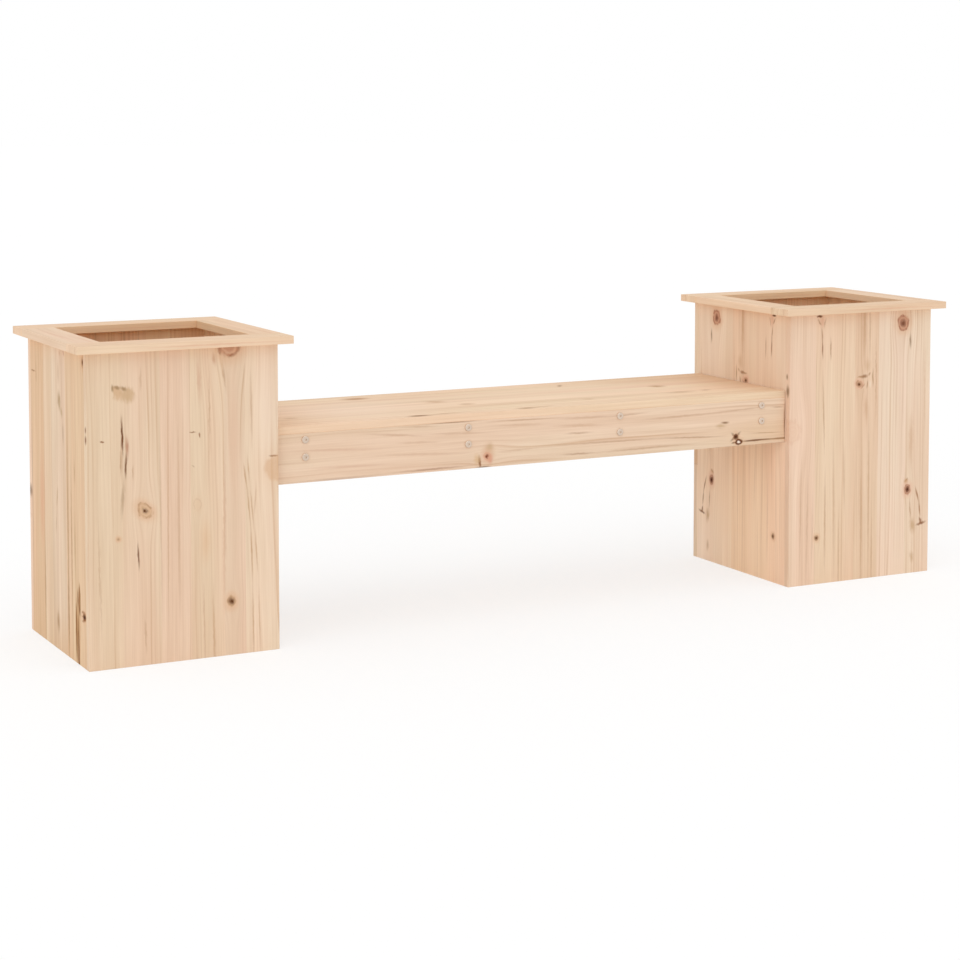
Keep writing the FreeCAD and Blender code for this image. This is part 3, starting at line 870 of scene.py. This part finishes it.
RIGHT_FRONT_LOOK = PineLook(
    staves=(
        Stave(62, "EDCFB7", 0.19), Stave(98, "EBCEB3", 0.66), Stave(60, "E8CAAF", 0.38),
        Stave(70, "EED5BF", 0.91), Stave(62, "EFD6BF", 0.05),
    ),
    marks=(
        Mark((300, -60), (300, 300), 110, "F6E0CC", 0.35, 0),
        Mark((77, -4), (78, 36), 22, "D8A688", 0.55, 4, 0.9),
        Mark((62, 5), (80, 6), 7, CRACK, 0.9, 2, 0.7),
        Mark((65, 8), (76, 26), 6, "9C6A48", 0.6, 3, 0.9),
        Mark((76, 22), (79, 60), 6, "9C6A48", 0.6, 2, 0.9),
        Mark((88, 4), (82, 34), 6, "A87858", 0.5, 3),
        Mark((78, 40), (80, 100), 5.5, "8A5638", 0.75, 1.5, 0.9),
        Mark((79, 90), (88, 320), 6, STREAK, 0.55),
        Mark((88, 280), (90, 570), 7, STREAK, 0.55),
        Mark((99, 42), (100, 104), 5, "9C6A48", 0.65, 1.5, 0.9),
        Mark((183, -80), (184, 142), 16, "BC8E68", 0.55, 3),
        Mark((196, -60), (198, 130), 8, STREAK, 0.4, 2),
        Mark((212, 20), (215, 260), 6, STREAK, 0.45, 3),
        Mark((190, 90), (194, 132), 26, "CDA884", 0.5, 4),
        Mark((164, 134), (184, 133), 6, "A87A50", 0.65, 2, 0.9),
        Mark((172, 134), (196, 132), 11, "8C5C34", 0.75, 2, 0.9),
        Mark((194, 134), (200, 124), 7, "A87A50", 0.6, 2, 0.9),
        Mark((205, 112), (206, 162), 6, "A67A52", 0.65, 1.5, 0.9),
        Mark((193, 138), (190, 162), 5.5, "946844", 0.6, 1.5, 0.9),
        Mark((173, 160), (187, 146), 6, "946844", 0.65, 1.5, 0.9),
        Mark((199, 138), (199, 162), 7, "F2DEC8", 0.6, 2, 0.9),
        Mark((184, 150), (182, 160), 5, "F2DEC8", 0.5, 2, 0.9),
        Mark((187, 160), (192, 240), 18, "CDA482", 0.5, 4),
        Mark((177, 200), (181, 700), 7, "B48A66", 0.45),
        Mark((196, 120), (199, 620), 7, "B48A66", 0.45),
        Mark((206, 360), (208, 620), 5, STREAK, 0.4),
        Mark((107, 200), (114, 600), 8, STREAK, 0.38),
        Mark((124, 360), (124, 640), 6, STREAK, 0.38),
        Mark((132, 230), (138, 440), 8, STREAK, 0.35),
        Mark((30, 240), (27, 600), 7, STREAK, 0.38),
        Mark((46, 260), (44, 600), 6, STREAK, 0.38),
        Mark((58, 330), (57, 560), 4, STREAK, 0.4, 1),
        Mark((300, 46), (301, 88), 8, "7A5E40", 0.65, 2, 0.9),
        Mark((306, 200), (303, 352), 18, "CDA583", 0.5, 4),
        Mark((303, 385), (306, 450), 6, "A67A52", 0.6, 2, 0.9),
        Mark((288, 360), (300, 350), 7, "9C7248", 0.7, 3, 0.9),
        Mark((294, 348), (294, 366), 18, "C89E74", 0.6, 4),
        Mark((315, 364), (330, 412), 6.5, "9A6840", 0.75, 1.2, 0.9),
        Mark((326, 396), (332, 442), 6.5, "9A6840", 0.75, 1.2, 0.9),
        Mark((316, 453), (350, 445), 9, BROWN, 0.8, 3, 0.8),
        Mark((328, 434), (335, 452), 9, BROWN, 0.75, 3, 0.8),
        Mark((309, 430), (313, 474), 22, "BC966A", 0.65, 5),
        Mark((308, 500), (312, 535), 16, "C2A07A", 0.6, 4),
        Mark((338, 10), (339, 330), 6, "CDA57F", 0.45, 2),
    ),
    knots=(
        Knot((281, 28), 14, 1.12, fill="BC8064", fill_strength=0.75, outline="965238",
             outline_strength=0.7, core="66321C", core_share=0.75, core_strength=0.8, rings=0.6),
        Knot((171, 148), 8, 0.85, 0.3, fill="B8895E", fill_strength=0.45, outline="7A4E30",
             outline_strength=0.35, core_share=0.8, core="582E0C", halo="E2AE92",
             halo_strength=0.6, rings=0.2),
        Knot((297, 375), 8.5, 1.4, 0.1, fill="A8603C", fill_strength=0.7, outline="8A4C30",
             outline_strength=0.2, core="4C1E06", core_share=0.9, halo="E2AE92",
             halo_strength=0.4),
        Knot((68, 456), 6, 1.1, fill="9A6E48", outline_strength=0.0, core_share=0.9,
             core="5A3418"),
        Knot((8, 236), 20, 1.2, fill="E0B090", fill_strength=0.2, outline="C8906C",
             outline_strength=0.12, core_strength=0.0, halo_strength=0.0),
    ),
)

APRON_LOOK = PineLook(
    staves=(Stave(90, "EACFB6", 0.46),),
    marks=(
        Mark((840, 64), (1330, 64), 100, "DDB98F", 0.4, 0),
        # Painted shade: a dark line at the end that meets a planter's wall, where the gap lies in
        # shadow
        Mark((1101, -6), (1101, 96), 12, "8C5630", 0.8, 0.5),
        Mark((270, 0), (436, 1), 4.5, "8A5A3A", 0.65, 0.5),
        Mark((390, 3), (620, 8), 5, "B48A68", 0.5, 1),
        Mark((-10, 88), (260, 88), 7, "B59A8A", 0.5, 1),
        Mark((200, 86), (420, 84), 6, "A0705A", 0.6),
        Mark((430, 36), (427, 92), 38, "CFA67E", 0.55, 3, 0.9),
        Mark((431, 40), (430, 64), 22, "C2A078", 0.5, 3),
        Mark((404, 58), (404, 90), 20, "D4AC78", 0.55, 4),
        Mark((409, 62), (410, 90), 10, "A87A4C", 0.7, 2, 0.9),
        Mark((411, 74), (411, 92), 7, BROWN, 0.75, 2, 0.8),
        Mark((433, 62), (431, 88), 16, "CC7A62", 0.62, 2, 0.9),
        Mark((396, 89), (440, 89), 5, "7A6250", 0.7, 0.5, 0.8),
        Mark((928, 47), (966, 48), 14, "C2A078", 0.6, 3),
        Mark((944, 41), (970, 42), 7, "805832", 0.8, 1.5, 0.9),
        Mark((990, 81.5), (1220, 82), 5.5, "94683E", 0.8, 0.6, 0.8),
        Mark((976, 82), (1076, 81), 6, "6E3E1C", 0.8, 0.6, 0.8),
        Mark((970, 84), (988, 82), 5, "5A2C0C", 0.9, 1.5, 0.7),
        Mark((969, 61), (997, 84), 8.5, "4A2208", 0.92, 1.5, 0.8),
        Mark((997, 60), (967, 82), 8.5, "4A2208", 0.92, 1.5, 0.8),
        Mark((1000, 66), (1110, 70), 4, STREAK, 0.6, 0.8),
        Mark((1060, 17), (1106, 19), 4, STREAK, 0.7, 1),
        Mark((498, 58), (882, 63), 6, "B48B6C", 0.52),
        Mark((778, 61), (982, 70), 5, "A87C5C", 0.56, 1.2),
        Mark((538, 8), (742, 12), 8, "BE9474", 0.44),
        Mark((677, 13), (793, 9), 6, "B48B6C", 0.44),
        Mark((711, 24), (979, 20), 7, "C09676", 0.48),
        Mark((875, 22), (1105, 14), 6, "C09676", 0.48),
        Mark((540, 20), (720, 30), 9, "C8A080", 0.44, 2),
        Mark((581, 38), (664, 40), 6, "9A6E4A", 0.44),
        Mark((568, 78), (677, 80), 6, "946444", 0.52),
        Mark((615, 80), (935, 78), 6, "A87E5A", 0.44),
        Mark((152, 8), (318, 24), 7, "C09676", 0.44),
        Mark((230, 2), (340, 6), 6, STREAK, 0.4),
        Mark((280, 18), (460, 26), 6, "C09676", 0.4),
        Mark((216, 30), (344, 36), 7, "C8A080", 0.4, 2),
        Mark((172, 50), (428, 62), 8, "C8A080", 0.4),
        Mark((425, 64), (565, 60), 6, "C09676", 0.36),
        Mark((412, 12), (578, 18), 7, "C8A080", 0.4),
        Mark((0, 30), (240, 40), 8, "D2A88C", 0.45),
        Mark((20, 64), (260, 70), 8, "D2A88C", 0.4),
    ),
    knots=(
        Knot((425, 69), 9, 0.9, 0.4, fill="D99A7C", outline_strength=0.0, core="7A3A1C",
             core_share=0.65, halo="E6B89C", halo_strength=0.4, rings=0.2),
        Knot((983, 72), 7, 0.9, fill="6A3410", fill_strength=0.8, outline_strength=0.0,
             core="3C1802", core_share=0.9, rings=0.2),
        Knot((990, 82.5), 6.5, 1.4, fill="64300E", fill_strength=0.95, outline_strength=0.0,
             core="FFEEDC", core_share=0.62, core_strength=1.0, halo_strength=0.3, rings=0.0,
             bend=0.0),
    ),
)

SEAT_LOOK = PineLook(
    staves=(
        Stave(70, "F0D3B6", 0.36), Stave(78, "EFD2B6", 0.77), Stave(66, "F1D4B8", 0.15),
        Stave(70, "F0D3B6", 0.58), Stave(38, "F1D4B7", 0.97),
    ),
    marks=(
        # Painted light: a pale patch over the left end, which lifts the shade that the left planter
        # casts there
        Mark((-40, 180), (420, 180), 420, "FAE4CE", 0.45, 0),
        Mark((930, 190), (1300, 190), 460, "CBA27E", 0.42, 0),
        Mark((640, 40), (1330, 40), 230, "C99F78", 0.35, 0),
        Mark((238, 40), (322, 44), 46, "B4825A", 0.85, 6),
        Mark((746, 30), (720, 72), 15, "946842", 0.62, 3),
        Mark((370, 142), (432, 160), 40, "C2966C", 0.6, 8),
        Mark((416, 205), (466, 208), 34, "C2966C", 0.6, 7),
        Mark((46, 228), (88, 232), 28, "C9A27C", 0.5, 6),
        Mark((258, 306), (324, 310), 24, "85542C", 0.88, 3, 0.9),
        Mark((290, 308), (400, 300), 18, "BE946C", 0.5, 4),
        Mark((484, 308), (552, 308), 28, "AA8058", 0.75, 5),
        Mark((520, 304), (590, 302), 20, "C49C74", 0.5, 4),
        Mark((878, 145), (932, 150), 44, "B4865A", 0.75, 8),
        Mark((850, 245), (950, 246), 34, "C29870", 0.55, 8),
        Mark((945, 240), (980, 242), 20, "B88C66", 0.6, 5),
        Mark((664, 250), (706, 252), 28, "CDA882", 0.5, 7),
    ),
)

# Bruises on the upright edge of the right planter's front panel and of the left one's back panel
FRONT_EDGE_MARKS = (
    Mark((0, 136), (0, 172), 4, "7A5A34", 0.8, 0.6, 0.9, 7, 8),
    Mark((0, 116), (0, 134), 4, "7A5A34", 0.7, 0.6, 0.9, 10, 5),
)
BACK_EDGE_MARKS = (Mark((352, 270), (352, 308), 4, "6A5238", 0.8, 0.6, 0.9, 7, 9),)
# Staves of the right planter's inner side panel, from its back edge to its front: lighter and warmer
# than the front panel's, painted light that lifts the shade under the seat
PAINTED_LIGHT_TINTS = ("FADEC4", "F9DDC4", "F6D4B6", "F8D7BA", "FAD9BE")
# Broad patches that lie under its marks, painted light: two pale ones low down lift the shade under
# the seat, and a darker one over the top, above the seat, brings the lifted staves back down there
PAINTED_LIGHT_PATCHES = (
    Mark((162, -200), (162, 330), 900, "DFC7AE", 0.5, 0, 0.6),
    Mark((150, 200), (150, 660), 460, "FFE4C4", 0.5, 0),
    Mark((10, 300), (10, 800), 280, "FFEEDC", 0.45, 0),
)
# Growth streaks that are fainter on that panel than on the front one, and by how much
FAINT_STREAKS = (STREAK, "B48A66")
FAINT_SHARE = 0.5
# Tints of the front, back, outer and inner board of a rim, and of posts, slats and battens
RIM_TINTS = ("EDCFB2", "EDCFB2", "EDD1B7", "EDCFB2")
BATTEN_TINTS = ("E2C19F", "DFBE9C", "E4C4A3")


@dataclass
class Bench:
    """What the sub-assemblies share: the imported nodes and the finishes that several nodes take."""

    cad_nodes: dict[str, bpy.types.Object]
    pine: PineNodes = field(default_factory=PineNodes)
    zinc: bpy.types.Material = field(default_factory=lambda: ZincPlatedSteel().material())
    beech: bpy.types.Material = field(default_factory=lambda: TurnedBeech().material())

    def dress(self, name: str, material: bpy.types.Material) -> None:
        """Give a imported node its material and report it.

        Args:
            name: The node's name.
            material: The finish that the node takes.
        """
        slots = self.cad_nodes[name].data.materials
        slots.clear()
        slots.append(material)
        log.info("%s: %s", name, material.name)

    def dress_board(
        self, name: str, face: Face, grain: Grain, look: PineLook, **changes: Any
    ) -> None:
        """Give a board a pine of its own.

        Args:
            name: The node's name.
            face: Where the board's show face looks.
            grain: How the grain runs on that face.
            look: The board's staves, marks and knots.
            changes: Values of PlanedPine that differ from the usual ones.
        """
        finish = PlanedPine(self.pine, "pine_" + name, face, grain, look, **changes)
        self.dress(name, finish.material(*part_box(name)))


@dataclass
class Planter:
    """One planter box: four walls, a rim of four boards, corner posts and a slatted floor.

    Lengths are in millimetres. The two tints are those of the streaks in the rim and of the painted
    light on its edges round the opening.
    """

    bench: Bench
    side: Side
    wall_width: float = 352.0
    wall_height: float = 551.0
    side_panel_width: float = 324.0
    rim_board_width: float = 60.0
    rim_streak: str = "DDA98A"
    rim_sawn_edge: str = "FAD2A1"
    post_width: float = 24.0
    cleat_height: float = 22.0
    slat_width: float = 103.7

    @property
    def prefix(self) -> str:
        """How the names of this planter's nodes begin."""
        return self.side.name.lower() + "_planter_"

    def wall_looks(self) -> dict[str, tuple[Face, PineLook]]:
        """Choose where each wall looks and what it shows.

        Returns:
            The face and the look of each wall by the node's short name.
        """
        mirrored_front = RIGHT_FRONT_LOOK.mirrored(self.wall_width)
        if self.side is Side.LEFT:
            return {
                "front_panel": (Face.FRONT, LEFT_FRONT_LOOK),
                "back_panel": (Face.BACK, mirrored_front.upended(self.wall_height)
                               .marked(BACK_EDGE_MARKS)),
                "outer_side_panel": (Face.LEFT, SIDE_LOOK),
                "inner_side_panel": (Face.RIGHT, LEFT_FRONT_LOOK.mirrored(
                    self.side_panel_width).upended(self.wall_height)),
            }
        # The right planter's inner side panel takes lighter, warmer staves and pale patches: painted
        # light that lifts the shade under the seat
        painted_light_staves = tuple(replace(stave, tint=tint)
                     for stave, tint in zip(mirrored_front.staves, PAINTED_LIGHT_TINTS))
        faint = tuple(replace(mark, strength=mark.strength * FAINT_SHARE)
                      if mark.colour in FAINT_STREAKS else mark for mark in mirrored_front.marks)
        return {
            "front_panel": (Face.FRONT, RIGHT_FRONT_LOOK.marked(FRONT_EDGE_MARKS)),
            "back_panel": (Face.BACK, LEFT_FRONT_LOOK.upended(self.wall_height)),
            "outer_side_panel": (Face.RIGHT, SIDE_LOOK.mirrored(self.side_panel_width)),
            "inner_side_panel": (Face.LEFT,
                                 PineLook(painted_light_staves, PAINTED_LIGHT_PATCHES + faint, mirrored_front.knots)),
        }

    def dress_walls(self) -> None:
        """Finish the four walls, with upright grain and stronger bands on the side panels."""
        for short, (face, look) in self.wall_looks().items():
            bands = 1.0 if "side" in short else 0.5
            self.bench.dress_board(self.prefix + short, face, Grain.DOWN, look, bands=bands)

    def dress_rim(self) -> None:
        """Finish the four boards of the rim, each with its grain along its length."""
        for number, short in enumerate(("front", "back", "outer", "inner")):
            grain = Grain.ACROSS if short in ("front", "back") else Grain.DOWN
            # A key of its own gives each board its own grain
            key = (0.21 + 0.17 * number + 0.09 * self.side.value) % 1.0
            look = PineLook((Stave(self.rim_board_width, RIM_TINTS[number], key),),
                            self.rim_streaks(grain, number) + (self.rim_hole_edge(short),))
            self.bench.dress_board(self.prefix + "rim_" + short + "_board", Face.TOP, grain, look,
                                   spacing=4.4, contrast=0.8, bands=0.6, end_tint="FFFFFF")

    def rim_streaks(self, grain: Grain, number: int) -> tuple[Mark, ...]:
        """Rosy growth streaks along a rim board: two on its top and, on the front and back boards,
        one on the edge that looks to the front.

        Args:
            grain: How the grain of the board runs, seen from above.
            number: The board's number in the rim, which sets where the streaks lie.

        Returns:
            The streaks.
        """
        streaks = []
        for row, (start, end, width) in enumerate(((0, 300, 7), (90, 420, 9))):
            # 14 or 36 mm from the board's edge, and up to 9 mm farther from board to board
            at = 14.0 + 22.0 * row + 5.0 * number * self.side.value % 9.0
            streaks.append(Mark((start, at), (end, at + 5), width, self.rim_streak, 0.4, 2))
        if grain is Grain.DOWN:
            return tuple(replace(s, start=s.start[::-1], end=s.end[::-1]) for s in streaks)
        edge = self.rim_board_width
        streaks.append(Mark((60, edge), (440, edge), 8, self.rim_streak, 0.5, depth=8, reach=2.5))
        return tuple(streaks)

    def rim_hole_edge(self, short: str) -> Mark:
        """The edge of a rim board that looks into the planter, yellower and lighter than the faces:
        painted light that lifts the shade on that edge.

        Args:
            short: The board's place in the rim.

        Returns:
            The mark that tints the edge.
        """
        on_right = "inner" if self.side is Side.LEFT else "outer"
        at = 0.0 if short in ("front", on_right) else self.rim_board_width
        start, end = (-200, at), (600, at)
        if short not in ("front", "back"):
            start, end = (at, -200), (at, 500)
        return Mark(start, end, 6, self.rim_sawn_edge, 0.4, 0, 0.5, 8, 14)

    def dress_inside(self) -> None:
        """Finish the corner posts, the cleats and the slats of the floor."""
        key = 0.5 + 0.2 * self.side.value
        inside = []
        for row in ("front_", "back_"):
            for column in ("outer_", "inner_"):
                inside.append((row + column + "corner_post", Face.FRONT, Grain.DOWN,
                               Stave(self.post_width, BATTEN_TINTS[0], key)))
            inside.append((row + "floor_cleat", Face.FRONT, Grain.ACROSS,
                           Stave(self.cleat_height, BATTEN_TINTS[1], key)))
        for number in (1, 2, 3):
            inside.append((f"floor_slat_{number}", Face.TOP, Grain.DOWN,
                           Stave(self.slat_width, BATTEN_TINTS[2], key * 0.3 * number)))
        for short, face, grain, stave in inside:
            self.bench.dress_board(self.prefix + short, face, grain, PineLook((stave,)))

    def dress_fasteners(self) -> None:
        """Finish the screws and the dowels."""
        self.bench.dress(self.prefix + "corner_post_screws", self.bench.zinc)
        self.bench.dress(self.prefix + "floor_screws", self.bench.zinc)
        self.bench.dress(self.prefix + "rim_dowels", self.bench.beech)

    def build(self) -> None:
        """Dress every node of this planter."""
        self.dress_walls()
        self.dress_rim()
        self.dress_inside()
        self.dress_fasteners()


@dataclass
class SeatUnit:
    """The seat board with its two aprons, cross battens, ledgers and fasteners.

    The face of an apron lies apron_face millimetres from the middle of the bench.
    """

    bench: Bench
    apron_face: float = 161.0
    batten_height: float = 58.0

    def dress_seat(self) -> None:
        """Finish the seat board and the aprons, with the grain along the bench."""
        self.bench.dress_board("seat_board", Face.TOP, Grain.ACROSS, SEAT_LOOK, bands=0.6)
        for name, face in (("front_apron", Face.FRONT), ("back_apron", Face.BACK)):
            self.bench.dress_board(name, face, Grain.ACROSS, APRON_LOOK, spacing=9.0, wander=30.0)

    def dress_frame(self) -> None:
        """Finish the battens and the ledgers under the seat."""
        names = [f"cross_batten_{number}" for number in (1, 2, 3, 4)]
        for number, name in enumerate(names + ["left_ledger", "right_ledger"]):
            tint = BATTEN_TINTS[number % len(BATTEN_TINTS)]
            look = PineLook((Stave(self.batten_height, tint, 0.16 * number + 0.03),))
            self.bench.dress_board(name, Face.LEFT, Grain.ACROSS, look)

    def dress_fasteners(self) -> None:
        """Finish the screws, bolts, washers and nuts."""
        shown = ZincPlatedSteel("zinc_plated_steel_heads", board_face=self.apron_face).material()
        for name in ("front_apron_screws", "back_apron_screws"):
            self.bench.dress(name, shown)
        for name in ("seat_screws", "ledger_bolts", "ledger_washers", "ledger_nuts"):
            self.bench.dress(name, self.bench.zinc)

    def build(self) -> None:
        """Dress every node of the seat unit."""
        self.dress_seat()
        self.dress_frame()
        self.dress_fasteners()


@dataclass
class Studio:
    """A white floor, a white surrounding, soft lamps and the camera of the photograph."""

    floor_half_width: float = 40.0
    floor_seen_share: float = 0.65
    floor_seen_strength: float = 1.02
    surround: float = 0.8
    camera_place: Span = (-2.03746, -3.84908, 0.98577)
    camera_heading: float = 27.2292
    camera_dip: float = 4.0171
    camera_lens: float = 83.847
    camera_sensor: float = 36.0
    camera_shift: float = -0.235

    @staticmethod
    def add_seen(add: Adder) -> Node:
        """Tell rays that show a thing from rays that only light others.

        Args:
            add: Adds a node to the tree.

        Returns:
            The node that gives 1 where the thing is seen, mirrored or seen through another.
        """
        ray = add("LightPath")
        seen = add("Math", {0: ray.outputs["Is Camera Ray"], 1: ray.outputs["Is Glossy Ray"]},
                   operation="MAXIMUM")
        return add("Math", {0: seen, 1: ray.outputs["Is Transmission Ray"]},
                   operation="MAXIMUM")

    def build_floor(self) -> None:
        """Lay the floor. The camera sees two thirds of it as plain white, so the shadow on it
        stays and is faint."""
        mesh = bpy.data.meshes.new("studio_floor")
        shape = bmesh.new()
        bmesh.ops.create_grid(shape, x_segments=1, y_segments=1, size=self.floor_half_width)
        shape.to_mesh(mesh)
        shape.free()
        floor = bpy.data.objects.new("studio_floor", mesh)
        bpy.context.scene.collection.objects.link(floor)
        paint, tree, _ = new_material("white_floor_paint")
        tree.nodes.clear()
        add = partial(add_node, tree)
        seen = self.add_seen(add)
        matt = add("BsdfDiffuse", {0: WHITE})
        white = add("Emission", {"Strength": self.floor_seen_strength})
        share = add("Math", {0: seen, 1: self.floor_seen_share}, operation="MULTIPLY")
        both = add("MixShader", {0: share, 1: matt, 2: white})
        add("OutputMaterial", {0: both})
        mesh.materials.append(paint)
        log.info("studio floor")

    def build_surround(self) -> None:
        """Make the world a plain white, at full strength where it is seen or mirrored."""
        world = bpy.data.worlds.new("studio_surround")
        bpy.context.scene.world = world
        world.use_nodes = True
        world.node_tree.nodes.clear()
        add = partial(add_node, world.node_tree)
        level = add("MapRange", {0: self.add_seen(add), "To Min": self.surround})
        back = add("Background", {"Color": WHITE, "Strength": level})
        add("OutputWorld", {0: back})
        log.info("studio surround")

    def build_lamp(
        self, name: str, heading: float, height: float, strength: float, spread: float
    ) -> None:
        """Add a far and soft lamp.

        Args:
            name: The lamp's name.
            heading: Which way its light goes, in degrees clockwise from straight back.
            height: How high it stands, in degrees above the floor.
            strength: Its strength in watts per square metre.
            spread: How wide it is, in degrees.
        """
        data = bpy.data.lights.new(name, "SUN")
        data.energy = strength
        data.angle = math.radians(spread)
        lamp = bpy.data.objects.new(name, data)
        turn, rise = math.radians(heading), math.radians(height)
        way = Vector((math.sin(turn) * math.cos(rise), math.cos(turn) * math.cos(rise),
                      -math.sin(rise)))
        lamp.rotation_euler = way.to_track_quat("-Z", "Y").to_euler()
        bpy.context.scene.collection.objects.link(lamp)
        log.info("lamp %s", name)

    def build_camera(self) -> None:
        """Set up the camera, which dips a little and has its picture shifted for the rest, so
        that upright edges stay nearly upright."""
        data = bpy.data.cameras.new("photo_camera")
        data.lens = self.camera_lens
        data.sensor_width = self.camera_sensor
        data.shift_y = self.camera_shift
        data.clip_start, data.clip_end = 0.1, 200.0
        camera = bpy.data.objects.new("photo_camera", data)
        camera.location = self.camera_place
        camera.rotation_euler = (math.radians(90.0 - self.camera_dip), 0.0,
                                 -math.radians(self.camera_heading))
        bpy.context.scene.collection.objects.link(camera)
        bpy.context.scene.camera = camera
        log.info("camera")

    def build(self) -> None:
        """Set up everything round the bench."""
        bpy.context.scene.view_settings.view_transform = "Standard"
        self.build_floor()
        self.build_surround()
        self.build_lamp("high_lamp", heading=10.0, height=65.0, strength=0.5, spread=60.0)
        self.build_lamp("low_lamp", heading=55.0, height=15.0, strength=0.33, spread=40.0)
        self.build_camera()


def main() -> None:
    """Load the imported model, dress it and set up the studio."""
    logging.basicConfig(level=logging.INFO, format="%(name)s: %(message)s")
    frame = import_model()
    bench = Bench(frame["nodes"])
    for side in Side:
        Planter(bench, side).build()
    SeatUnit(bench).build()
    Studio().build()


if __name__ == "__main__":
    main()
